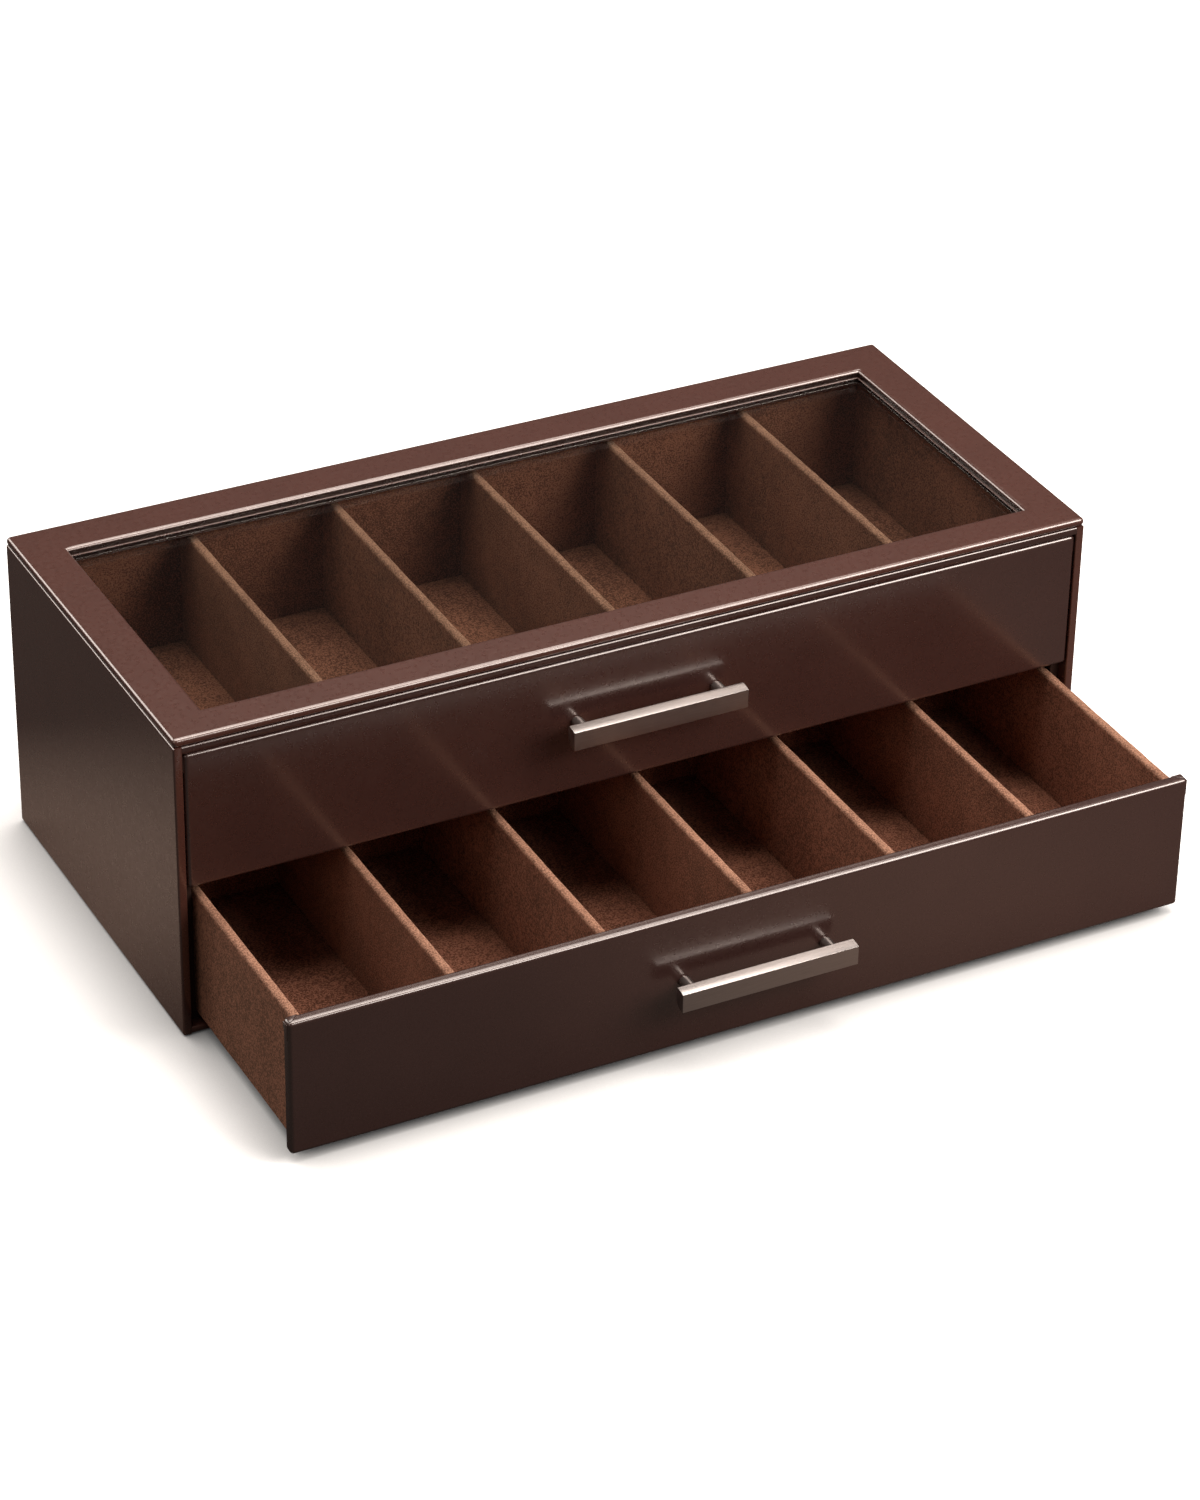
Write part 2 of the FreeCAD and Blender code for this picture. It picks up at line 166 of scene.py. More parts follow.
CAMERA_AZIMUTH = math.radians(-27.534)
CAMERA_ELEVATION = math.radians(31.782)
CAMERA_ROLL = math.radians(1.023)
CAMERA_DISTANCE = 2.22388
CAMERA_ASIDE = (0.02516, 0.02755)
back = Vector((math.sin(CAMERA_AZIMUTH) * math.cos(CAMERA_ELEVATION),
               -math.cos(CAMERA_AZIMUTH) * math.cos(CAMERA_ELEVATION), math.sin(CAMERA_ELEVATION)))
level = Vector((math.cos(CAMERA_AZIMUTH), math.sin(CAMERA_AZIMUTH), 0))
upright = back.cross(level)
right = math.cos(CAMERA_ROLL) * level + math.sin(CAMERA_ROLL) * upright
above = back.cross(right)
lens = bpy.data.cameras.new("camera")
lens.sensor_fit = "VERTICAL"
lens.sensor_height = 36.0
lens.lens = 114.763
camera = bpy.data.objects.new("camera", lens)
turn = Matrix((right, above, back)).transposed().to_4x4()
camera.matrix_world = Matrix.Translation(CAMERA_ASIDE[0] * right + CAMERA_ASIDE[1] * above
                                         + CAMERA_DISTANCE * back) @ turn
scene.collection.objects.link(camera)
scene.camera = camera

# Case wrap: fibreboard sides and back, 4 mm thick, glued at the corners. One skin of dark brown
# leatherette runs round the three of them, is turned in at the front, and laps over itself at the back.
EDGE_ROUND = 0.9 * MM
SKIN = 0.35 * MM
WAVE = 0.05 * MM
HOLD = 0.2 * MM
# Painted shade for the top's turned-down window wall: a near-black colour.
WALL_SHADE_COLOUR = (0.008, 0.0035, 0.003)


def leatherette(name, brown, shadow, seed):
    """Coated cloth with a clear top coat: a fine even grain on faint long waves, and painted shade where marked.
    """
    material, shader, add, link = shader_nodes(name)
    place = add("ShaderNodeTexCoord")
    shifted = add("ShaderNodeMapping")
    shifted.inputs["Location"].default_value = (seed, seed * 0.7, -seed)
    link(place.outputs["Object"], shifted.inputs["Vector"])
    pebbles = add("ShaderNodeTexNoise", Scale=1250.0, Detail=1.0, Roughness=0.4)
    creases = add("ShaderNodeTexNoise", Scale=420.0, Detail=3.0, Roughness=0.5)
    clouds = add("ShaderNodeTexNoise", Scale=34.0, Detail=3.0, Roughness=0.55)
    waves = add("ShaderNodeTexNoise", Scale=11.0, Detail=1.0)
    for texture in (pebbles, creases, clouds, waves):
        link(shifted.outputs[0], texture.inputs["Vector"])
    tone = add("ShaderNodeMapRange", From_Min=0.55, From_Max=1.05)
    blend = add("ShaderNodeMath", operation="MULTIPLY_ADD")
    blend.inputs[1].default_value = 0.6
    link(clouds.outputs[0], blend.inputs[0])
    link(pebbles.outputs[0], blend.inputs[2])
    link(blend.outputs[0], tone.inputs["Value"])
    colour = add("ShaderNodeMix", data_type="RGBA")
    colour.inputs[6].default_value = (*shadow, 1)
    colour.inputs[7].default_value = (*brown, 1)
    link(tone.outputs[0], colour.inputs[0])
    # Painted shade: where the window-wall mark is set, the colour goes near black and the top coat is nearly
    # taken off.
    wall_shade = add("ShaderNodeAttribute", attribute_name="wall_shade")
    shaded_colour = add("ShaderNodeMix", data_type="RGBA")
    shaded_colour.inputs[7].default_value = (*WALL_SHADE_COLOUR, 1)
    link(wall_shade.outputs["Fac"], shaded_colour.inputs[0])
    link(colour.outputs[2], shaded_colour.inputs[6])
    link(shaded_colour.outputs[2], shader.inputs["Base Color"])
    gloss = add("ShaderNodeMapRange", From_Min=0.3, From_Max=0.7, To_Min=0.25, To_Max=0.36)
    link(creases.outputs[0], gloss.inputs["Value"])
    link(gloss.outputs[0], shader.inputs["Roughness"])
    shader.inputs["Specular IOR Level"].default_value = 0.8
    shader.inputs["Specular Tint"].default_value = (1.0, 0.83, 0.76, 1)
    coat = add("ShaderNodeMapRange", To_Min=0.5, To_Max=0.04)
    link(wall_shade.outputs["Fac"], coat.inputs["Value"])
    link(coat.outputs[0], shader.inputs["Coat Weight"])
    shader.inputs["Coat IOR"].default_value = 2.1
    shader.inputs["Coat Roughness"].default_value = 0.15
    long_bump = add("ShaderNodeBump", Strength=0.25, Distance=0.0012)
    crease_bump = add("ShaderNodeBump", Strength=0.08, Distance=0.00008)
    pebble_bump = add("ShaderNodeBump", Strength=0.1, Distance=0.00006)
    link(waves.outputs[0], long_bump.inputs["Height"])
    link(creases.outputs[0], crease_bump.inputs["Height"])
    link(pebbles.outputs[0], pebble_bump.inputs["Height"])
    link(long_bump.outputs[0], crease_bump.inputs["Normal"])
    link(crease_bump.outputs[0], pebble_bump.inputs["Normal"])
    link(pebble_bump.outputs[0], shader.inputs["Normal"])
    link(long_bump.outputs[0], shader.inputs["Coat Normal"])
    return material


def block(name, low, high):
    """A closed box from corner to corner, with its place in its mesh, left in edit mode."""
    bpy.ops.object.select_all(action="DESELECT")
    low, high = Vector(low), Vector(high)
    bpy.ops.mesh.primitive_cube_add(size=1, location=(low + high) / 2)
    piece = bpy.context.object
    piece.name = piece.data.name = name
    bpy.ops.object.mode_set(mode="EDIT")
    bpy.ops.transform.resize(value=tuple(high - low))
    bpy.ops.object.mode_set(mode="OBJECT")
    bpy.ops.object.transform_apply(location=True, rotation=True, scale=True)
    bpy.ops.object.mode_set(mode="EDIT")
    return piece


def pick(piece, kind, test):
    """Selects just the edges or faces whose middle and direction or normal pass the test."""
    bpy.ops.mesh.select_all(action="DESELECT")
    shape = bmesh.from_edit_mesh(piece.data)
    if kind == "edges":
        bpy.ops.mesh.select_mode(type="EDGE")
        shape = bmesh.from_edit_mesh(piece.data)
        for edge in shape.edges:
            first, second = edge.verts[0].co, edge.verts[1].co
            edge.select_set(bool(test((first + second) / 2, (second - first).normalized())))
    else:
        bpy.ops.mesh.select_mode(type="FACE")
        shape = bmesh.from_edit_mesh(piece.data)
        for face in shape.faces:
            face.select_set(bool(test(face.calc_center_median(), face.normal)))
    bmesh.update_edit_mesh(piece.data)


def near(first, second):
    return abs(first - second) < 0.02 * MM


def cut_along(axis, places):
    """Cuts the whole mesh by planes square to the axis."""
    normal = tuple(1.0 if axis == "xyz"[i] else 0.0 for i in range(3))
    for place in places:
        bpy.ops.mesh.select_all(action="SELECT")
        bpy.ops.mesh.bisect(plane_co=tuple(place * n for n in normal), plane_no=normal)


def steps(low, high, pitch, rim=0.0):
    """Even places between two ends, about a pitch apart, and one just inside each rounded rim."""
    count = max(2, round((high - low) / pitch))
    held = [low + rim, high - rim] if rim else []
    return held + [low + (high - low) * i / count for i in range(1, count)]


def round_off(piece, radius, segments, test):
    """Rounds the edges that pass the test."""
    pick(piece, "edges", test)
    bpy.ops.mesh.bevel(offset=radius, offset_type="OFFSET", segments=segments, profile=0.5,
                       affect="EDGES", clamp_overlap=True)


def ripple(piece, height, spread):
    """Gives a wrapped face the slight unevenness of skin glued over board."""
    bpy.ops.object.mode_set(mode="OBJECT")
    pattern = bpy.data.textures.new(f"{piece.name}_ripple", "CLOUDS")
    pattern.noise_scale = spread
    pattern.noise_depth = 1
    modifier = piece.modifiers.new("ripple", "DISPLACE")
    modifier.texture = pattern
    modifier.texture_coords = "LOCAL"
    modifier.mid_level = 0.5
    modifier.strength = height
    bpy.ops.object.modifier_apply(modifier=modifier.name)


def dress(piece, material, slot, body, *stands_for):
    """Leaves edit mode, smooths the piece, gives it its finish and hangs it on its body."""
    if bpy.context.mode != "OBJECT":
        bpy.ops.object.mode_set(mode="OBJECT")
    bpy.ops.object.select_all(action="DESELECT")
    piece.select_set(True)
    bpy.context.view_layer.objects.active = piece
    bpy.ops.object.shade_smooth_by_angle(angle=math.radians(38))
    piece.data.materials.clear()
    piece.data.materials.append(material)
    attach(piece, body)
    if stands_for:
        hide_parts(*stands_for)


case_leather = leatherette("case_leatherette", (0.060, 0.0205, 0.0148), (0.046, 0.0158, 0.0114), 3.1)

case_low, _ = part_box("left_side_panel")
_, case_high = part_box("right_side_panel")
inner_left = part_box("left_side_panel")[1][0]
inner_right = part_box("right_side_panel")[0][0]
back_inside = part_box("back_panel")[0][1]
SEAM_X = -150 * MM
case_wrap = block("case_wrap", (case_low[0], back_inside, case_low[2]), case_high)
cut_along("x", [inner_left, inner_right])
pick(case_wrap, "faces", lambda mid, normal: normal.y < -0.9 and not inner_left < mid.x < inner_right)
bpy.ops.mesh.extrude_region_move(TRANSFORM_OT_translate={"value": (0, case_low[1] - back_inside, 0)})


def on_case_outline(mid, way):
    aside = near(abs(mid.x), case_high[0])
    rim = (near(mid.z, case_high[2]) or near(mid.z, case_low[2])) and abs(way.z) < 0.1
    return (rim and (aside or near(mid.y, case_high[1]))) or (aside and abs(way.z) > 0.9)


round_off(case_wrap, EDGE_ROUND, 5, on_case_outline)
round_off(case_wrap, 0.5 * MM, 3, lambda mid, way: near(mid.y, case_low[1]) and abs(way.z) > 0.9
          and (near(mid.x, inner_left) or near(mid.x, inner_right)))
cut_along("x", [SEAM_X, SEAM_X + 0.25 * MM])
pick(case_wrap, "faces", lambda mid, normal: mid.y > case_high[1] - EDGE_ROUND and normal.y > 0.3
     and SEAM_X + 0.2 * MM < mid.x < case_high[0] - 2 * EDGE_ROUND)
bpy.ops.transform.translate(value=(0, -SKIN, 0))
case_rim = EDGE_ROUND + HOLD
cut_along("x", steps(case_low[0], case_high[0], 16 * MM, case_rim))
cut_along("y", steps(case_low[1], case_high[1], 14 * MM, case_rim))
cut_along("z", steps(case_low[2], case_high[2], 14 * MM, case_rim))
ripple(case_wrap, WAVE, 0.05)
dress(case_wrap, case_leather, "case_wrap", "case", "left_side_panel", "right_side_panel", "back_panel")

# Bottom board: 3 mm fibreboard in the same skin, glued between the sides. Its front edge shows as a
# thin lip under the lower drawer.
bottom_low, bottom_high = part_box("bottom_panel")
bottom_wrap = block("bottom_wrap", bottom_low, bottom_high)
round_off(bottom_wrap, 1.0 * MM, 4, lambda mid, way: near(mid.y, bottom_low[1]) and abs(way.x) > 0.9)
cut_along("x", steps(bottom_low[0], bottom_high[0], 16 * MM))
ripple(bottom_wrap, WAVE * 0.5, 0.05)
dress(bottom_wrap, case_leather, "case_wrap", "case", "bottom_panel")

# Base felt: one sheet of dark felt glued under the case, so that it doesn't scratch what it stands on.
# It is cut a little short of the case, with rounded corners.
FELT_CORNER = 6 * MM
felt_low, felt_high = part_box("base_felt")


def felt_cloth():
    """Pressed dark felt: matted fibres, no weave."""
    material, shader, add, link = shader_nodes("dark_felt")
    place = add("ShaderNodeTexCoord")
    fibres = add("ShaderNodeTexNoise", Scale=900.0, Detail=6.0, Roughness=0.75)
    shade = add("ShaderNodeValToRGB")
    shade.color_ramp.elements[0].color = (0.012, 0.008, 0.007, 1)
    shade.color_ramp.elements[1].color = (0.045, 0.031, 0.026, 1)
    raised = add("ShaderNodeBump", Strength=0.6, Distance=0.0003)
    link(place.outputs["Object"], fibres.inputs["Vector"])
    link(fibres.outputs[0], shade.inputs[0])
    link(shade.outputs[0], shader.inputs["Base Color"])
    link(fibres.outputs[0], raised.inputs["Height"])
    link(raised.outputs[0], shader.inputs["Normal"])
    shader.inputs["Roughness"].default_value = 0.95
    shader.inputs["Sheen Weight"].default_value = 0.4
    return material


felt_sheet = block("felt_sheet", felt_low, felt_high)
round_off(felt_sheet, FELT_CORNER, 6, lambda mid, way: abs(way.z) > 0.9)
round_off(felt_sheet, 0.25 * MM, 2, lambda mid, way: near(mid.z, felt_low[2]) and abs(way.z) < 0.1)
dress(felt_sheet, felt_cloth(), "felt", "case", "base_felt")

# Rail frame: the board between the sides under the top. Its front edge is the rail over the upper
# drawer, and a rebate in it carries the glass.
GLASS_LIP = 6 * MM
rail_low, rail_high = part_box("rail_frame")
glass_low, glass_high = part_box("glass_pane")
window_left, window_right = glass_low[0] + GLASS_LIP, glass_high[0] - GLASS_LIP
window_front, window_back = glass_low[1] + GLASS_LIP, glass_high[1] - GLASS_LIP


def in_window(mid, play=0.0):
    return (window_left - play < mid.x < window_right + play
            and window_front - play < mid.y < window_back + play)


def window_board(name, low, high, inset=0.0):
    """A board with the window cut through it, left in edit mode."""
    piece = block(name, low, high)
    cut_along("x", [window_left + inset, window_right - inset])
    cut_along("y", [window_front + inset, window_back - inset])
    pick(piece, "faces", lambda mid, normal: abs(normal.z) > 0.9 and in_window(mid, -inset))
    bpy.ops.mesh.bridge_edge_loops()
    return piece


def on_window_rim(mid, way, inset=0.0):
    """True on the four straight edges of the window."""
    across = (near(mid.y, window_front + inset) or near(mid.y, window_back - inset)) and abs(way.x) > 0.9
    along = (near(mid.x, window_left + inset) or near(mid.x, window_right - inset)) and abs(way.y) > 0.9
    return (across or along) and in_window(mid, 0.1 * MM - inset)


rail_wrap = window_board("rail_wrap", rail_low, rail_high)
round_off(rail_wrap, 1.0 * MM, 4, lambda mid, way: near(mid.y, rail_low[1]) and near(mid.z, rail_high[2])
          and abs(way.x) > 0.9)
round_off(rail_wrap, 0.5 * MM, 3, lambda mid, way: near(mid.z, rail_low[2])
          and (on_window_rim(mid, way) or (near(mid.y, rail_low[1]) and abs(way.x) > 0.9)))
seat_play = 0.3 * MM
cut_along("x", [glass_low[0] - seat_play, glass_high[0] + seat_play])
cut_along("y", [glass_low[1] - seat_play, glass_high[1] + seat_play])
pick(rail_wrap, "faces", lambda mid, normal: near(mid.z, rail_high[2]) and normal.z > 0.9
     and glass_low[0] - seat_play < mid.x < glass_high[0] + seat_play
     and glass_low[1] - seat_play < mid.y < glass_high[1] + seat_play)
bpy.ops.transform.translate(value=(0, 0, glass_low[2] - rail_high[2]))
round_off(rail_wrap, 0.2 * MM, 3, lambda mid, way: near(mid.z, glass_low[2]) and on_window_rim(mid, way))
cut_along("x", steps(rail_low[0], rail_high[0], 16 * MM))
cut_along("y", steps(rail_low[1], rail_high[1], 16 * MM))
ripple(rail_wrap, WAVE * 0.5, 0.05)
# The rail gets a darker copy of the case leatherette: painted shade for its place in the shadow of the top.
rail_shade_leather = leatherette("rail_shade_leatherette", (0.027, 0.0100, 0.0085), (0.021, 0.0078, 0.0066), 5.3)
dress(rail_wrap, rail_shade_leather, "case_wrap", "case", "rail_frame")

# Glass pane: 2 mm float glass with ground edges, dropped into the rebate and held down by the top.
pane = block("window_glass", glass_low, glass_high)
round_off(pane, 0.3 * MM, 1, lambda mid, way: True)


def clear_glass():
    """Float glass as a thin pane: clear, a little green, with its surface reflection."""
    material = bpy.data.materials.new("clear_float_glass")
    material.use_nodes = True
    tree = material.node_tree
    tree.nodes.remove(tree.nodes["Principled BSDF"])
    through = tree.nodes.new("ShaderNodeBsdfTransparent")
    through.inputs["Color"].default_value = (0.90, 0.915, 0.905, 1)
    mirror = tree.nodes.new("ShaderNodeBsdfGlossy")
    mirror.inputs["Roughness"].default_value = 0.02
    smear = tree.nodes.new("ShaderNodeTexNoise")
    smear.inputs["Scale"].default_value = 14.0
    place = tree.nodes.new("ShaderNodeTexCoord")
    film = tree.nodes.new("ShaderNodeValToRGB")
    film.color_ramp.elements[0].color = (0.30, 0.30, 0.30, 1)
    film.color_ramp.elements[1].color = (0.42, 0.42, 0.42, 1)
    angle = tree.nodes.new("ShaderNodeLayerWeight")
    angle.inputs["Blend"].default_value = 0.5
    steep = tree.nodes.new("ShaderNodeMath")
    steep.operation = "POWER"
    steep.inputs[1].default_value = 5.0
    share = tree.nodes.new("ShaderNodeMath")
    share.operation = "MULTIPLY_ADD"
    share.inputs[1].default_value = 0.9
    share.inputs[2].default_value = 0.035
    mix = tree.nodes.new("ShaderNodeMixShader")
    tree.links.new(place.outputs["Object"], smear.inputs["Vector"])
    tree.links.new(smear.outputs[0], film.inputs[0])
    tree.links.new(film.outputs[0], mirror.inputs["Color"])
    tree.links.new(angle.outputs["Facing"], steep.inputs[0])
    tree.links.new(steep.outputs[0], share.inputs[0])
    tree.links.new(share.outputs[0], mix.inputs[0])
    tree.links.new(through.outputs[0], mix.inputs[1])
    tree.links.new(mirror.outputs[0], mix.inputs[2])
    tree.links.new(mix.outputs[0], tree.nodes["Material Output"].inputs["Surface"])
    return material


dress(pane, clear_glass(), "glass", "case", "glass_pane")

# Top: a 4 mm board with the window cut out, in one skin that is slit at the window's corners and
# turned down through it, where a thin bead presses on the pane. The turned-down wall gets painted shade,
# near black with little top coat. It is glued over the case, and a dark groove shows between the two.
TOP_ROUND = 1.9 * MM
BEAD_WIDE = 0.6 * MM
BEAD_RISE = 0.45 * MM
BEAD_ROUND = 0.2 * MM
WALL_SHADE_START = 1.3 * MM
top_low, top_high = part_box("top_frame")
top_wrap = window_board("top_wrap", top_low, top_high)


def on_top_outline(mid, way):
    aside = near(abs(mid.x), top_high[0])
    ahead = near(abs(mid.y), top_high[1])
    rim = near(mid.z, top_high[2]) or near(mid.z, top_low[2])
    return (rim and (aside or ahead) and abs(way.z) < 0.1) or (aside and ahead)


round_off(top_wrap, TOP_ROUND, 7, lambda mid, way: on_top_outline(mid, way)
          or (near(mid.z, top_high[2]) and on_window_rim(mid, way)))
top_rim = TOP_ROUND + HOLD
cut_along("x", [*steps(top_low[0], top_high[0], 12 * MM, top_rim),
                window_left - top_rim, window_right + top_rim])
cut_along("y", [*steps(top_low[1], top_high[1], 12 * MM, top_rim),
                window_front - top_rim, window_back + top_rim])
ripple(top_wrap, WAVE, 0.04)
# Marks the turned-down window wall for painted shade.
marks = top_wrap.data.attributes.new("wall_shade", "FLOAT", "POINT")
for point, mark in zip(top_wrap.data.vertices, marks.data):
    mark.value = float(in_window(point.co, 0.3 * MM) and point.co.z < top_high[2] - WALL_SHADE_START)
bead_top = top_low[2] + BEAD_RISE
bead = window_board("bead", (window_left - HOLD, window_front - HOLD, top_low[2]),
                    (window_right + HOLD, window_back + HOLD, bead_top), BEAD_WIDE)
round_off(bead, BEAD_ROUND, 3, lambda mid, way: near(mid.z, bead_top) and on_window_rim(mid, way, BEAD_WIDE))
bpy.ops.object.mode_set(mode="OBJECT")
top_wrap.select_set(True)
bpy.context.view_layer.objects.active = top_wrap
bpy.ops.object.join()
top_leather = leatherette("top_leatherette", (0.056, 0.0178, 0.0124), (0.045, 0.0142, 0.0098), 7.7)
dress(top_wrap, top_leather, "top_wrap", "case", "top_frame")

# Inside boards: the floor liner, the shelf between the drawers and the side guides are plain wrapped
# boards, glued in. Their CAD solids have the right shape and just get the matt inner wrap.


def inner_wrap():
    """Matt dark covering paper with a faint leather print."""
    material, shader, add, link = shader_nodes("inner_wrap_paper")
    place = add("ShaderNodeTexCoord")
    print_grain = add("ShaderNodeTexVoronoi", Scale=800.0)
    tone = add("ShaderNodeTexNoise", Scale=60.0, Detail=3.0)
    shade = add("ShaderNodeValToRGB")
    shade.color_ramp.elements[0].color = (0.020, 0.0095, 0.0070, 1)
    shade.color_ramp.elements[1].color = (0.040, 0.0185, 0.0130, 1)
    raised = add("ShaderNodeBump", Strength=0.3, Distance=0.0001)
    for texture in (print_grain, tone):
        link(place.outputs["Object"], texture.inputs["Vector"])
    link(tone.outputs[0], shade.inputs[0])
    link(shade.outputs[0], shader.inputs["Base Color"])
    link(print_grain.outputs["Distance"], raised.inputs["Height"])
    link(raised.outputs[0], shader.inputs["Normal"])
    shader.inputs["Roughness"].default_value = 0.6
    shader.inputs["Specular IOR Level"].default_value = 0.3
    return material


inner_paper = inner_wrap()
for name in ("floor_liner", "middle_shelf", "lower_left_guide", "lower_right_guide", "upper_left_guide",
             "upper_right_guide"):
    nodes[name].data.materials.clear()
    nodes[name].data.materials.append(inner_paper)

# Drawer boxes: 4.5 mm boards covered in tan-brown suede cloth on both faces and over the top edge.
# Sides and back are glued to the floor, and five dividers stand between the front and the back.
RIDGE_ROUND = 1.6 * MM
RIDGE_FADE = 1.9 * MM
SUEDE_WAVE = 0.34 * MM


def suede_cloth():
    """Napped suede cloth: brushed patches, a fine speckle, and a paler nap on the ridges, partly worn and partly
    painted top light.
    """
    material, shader, add, link = shader_nodes("tan_suede")
    place = add("ShaderNodeTexCoord")
    speckle = add("ShaderNodeTexNoise", Scale=1300.0, Detail=2.0, Roughness=0.7)
    strokes = add("ShaderNodeTexNoise", Scale=210.0, Detail=4.0, Roughness=0.65, Distortion=0.6)
    patches = add("ShaderNodeTexNoise", Scale=28.0, Detail=2.0)
    for texture in (speckle, strokes, patches):
        link(place.outputs["Object"], texture.inputs["Vector"])
    mixed = add("ShaderNodeMath", operation="MULTIPLY_ADD")
    mixed.inputs[1].default_value = 0.22
    link(strokes.outputs[0], mixed.inputs[0])
    link(speckle.outputs[0], mixed.inputs[2])
    wide = add("ShaderNodeMath", operation="MULTIPLY_ADD")
    wide.inputs[1].default_value = 0.18
    link(patches.outputs[0], wide.inputs[0])
    link(mixed.outputs[0], wide.inputs[2])
    tone = add("ShaderNodeMapRange", From_Min=0.62, From_Max=0.78)
    link(wide.outputs[0], tone.inputs["Value"])
    nap = add("ShaderNodeMix", data_type="RGBA")
    nap.inputs[6].default_value = (0.084, 0.033, 0.0195, 1)
    nap.inputs[7].default_value = (0.290, 0.118, 0.072, 1)
    link(tone.outputs[0], nap.inputs[0])
    # Paler ridge colour: partly worn nap, partly painted light where the ridges face the lamps above.
    worn_and_lit = add("ShaderNodeMix", data_type="RGBA")
    worn_and_lit.inputs[6].default_value = (0.120, 0.055, 0.035, 1)
    worn_and_lit.inputs[7].default_value = (0.31, 0.160, 0.104, 1)
    link(tone.outputs[0], worn_and_lit.inputs[0])
    ridge = add("ShaderNodeAttribute", attribute_name="ridge")
    ragged = add("ShaderNodeMath", operation="MULTIPLY_ADD")
    ragged.inputs[1].default_value = 1.6
    lift = add("ShaderNodeMapRange", From_Min=0.3, From_Max=0.7, To_Min=-0.45, To_Max=0.15)
    link(strokes.outputs[0], lift.inputs["Value"])
    link(ridge.outputs["Fac"], ragged.inputs[0])
    link(lift.outputs[0], ragged.inputs[2])
    ragged.use_clamp = True
    colour = add("ShaderNodeMix", data_type="RGBA")
    link(ragged.outputs[0], colour.inputs[0])
    link(nap.outputs[2], colour.inputs[6])
    link(worn_and_lit.outputs[2], colour.inputs[7])
    link(colour.outputs[2], shader.inputs["Base Color"])
    shader.inputs["Roughness"].default_value = 0.92
    shader.inputs["Specular IOR Level"].default_value = 0.15
    shader.inputs["Sheen Weight"].default_value = 0.12
    shader.inputs["Sheen Roughness"].default_value = 0.45
    shader.inputs["Sheen Tint"].default_value = (1.0, 0.66, 0.44, 1)
    stroke_bump = add("ShaderNodeBump", Strength=0.5, Distance=0.0006)
    speckle_bump = add("ShaderNodeBump", Strength=0.6, Distance=0.00025)
    link(strokes.outputs[0], stroke_bump.inputs["Height"])
    link(speckle.outputs[0], speckle_bump.inputs["Height"])
    link(stroke_bump.outputs[0], speckle_bump.inputs["Normal"])
    link(speckle_bump.outputs[0], shader.inputs["Normal"])
    return material


suede = suede_cloth()


def mark_ridge(piece, top):
    """Writes how near each point is to the ridge, for the suede's paler ridge nap: partly wear, partly painted
    top light.
    """
    marks = piece.data.attributes.new("ridge", "FLOAT", "POINT")
    for point, mark in zip(piece.data.vertices, marks.data):
        mark.value = min(1.0, max(0.0, 1.0 - (top - point.co.z) / RIDGE_FADE))


def suede_board(name, low, high):
    """A covered board, soft along its top edge, cut fine enough to ripple, left in object mode."""
    piece = block(name, low, high)
    long_axis = 0 if high[0] - low[0] > high[1] - low[1] else 1
    round_off(piece, RIDGE_ROUND, 5, lambda mid, way: near(mid.z, high[2]) and abs(way[long_axis]) > 0.9)
    cut_along("xyz"[long_axis], steps(low[long_axis], high[long_axis], 4.5 * MM))
    cut_along("z", [high[2] - 2.2 * MM, high[2] - 3.4 * MM, *steps(low[2], high[2] - 4 * MM, 7 * MM)])
    bpy.ops.object.mode_set(mode="OBJECT")
    return piece


def copy_of(piece, name, shift):
    """A copy with its own mesh, moved by the shift."""
    bpy.ops.object.select_all(action="DESELECT")
    piece.select_set(True)
    bpy.context.view_layer.objects.active = piece
    bpy.ops.object.duplicate()
    twin = bpy.context.object
    twin.name = twin.data.name = name
    bpy.ops.transform.translate(value=shift)
    bpy.ops.object.transform_apply(location=True, rotation=True, scale=True)
    return twin


def finish_suede(piece, tier, top, *stands_for):
    bpy.context.view_layer.objects.active = piece
    ripple(piece, SUEDE_WAVE, 0.012)
    mark_ridge(piece, top)
    dress(piece, suede, "suede", f"{tier}_drawer", *stands_for)


SLOTS = 6
for tier in ("lower", "upper"):
    wall_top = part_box(f"{tier}_left_wall")[1][2]
    left_wall = suede_board(f"{tier}_left_suede", *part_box(f"{tier}_left_wall"))
    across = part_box(f"{tier}_right_wall")[0][0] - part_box(f"{tier}_left_wall")[0][0]
    right_wall = copy_of(left_wall, f"{tier}_right_suede", (across, 0, 0))
    finish_suede(left_wall, tier, wall_top, f"{tier}_left_wall")
    finish_suede(right_wall, tier, wall_top, f"{tier}_right_wall")
    back_wall = suede_board(f"{tier}_back_suede", *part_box(f"{tier}_back_wall"))
    finish_suede(back_wall, tier, wall_top, f"{tier}_back_wall")

    divider_lows = [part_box(f"{tier}_divider_{number}")[0] for number in range(1, SLOTS)]
    first = suede_board(f"{tier}_divider_suede_1", *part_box(f"{tier}_divider_1"))
    dividers = [first] + [copy_of(first, f"{tier}_divider_suede_{number + 1}",
                                  (divider_lows[number][0] - divider_lows[0][0], 0, 0))
                          for number in range(1, SLOTS - 1)]
    for number, divider in enumerate(dividers, start=1):
        finish_suede(divider, tier, wall_top, f"{tier}_divider_{number}")

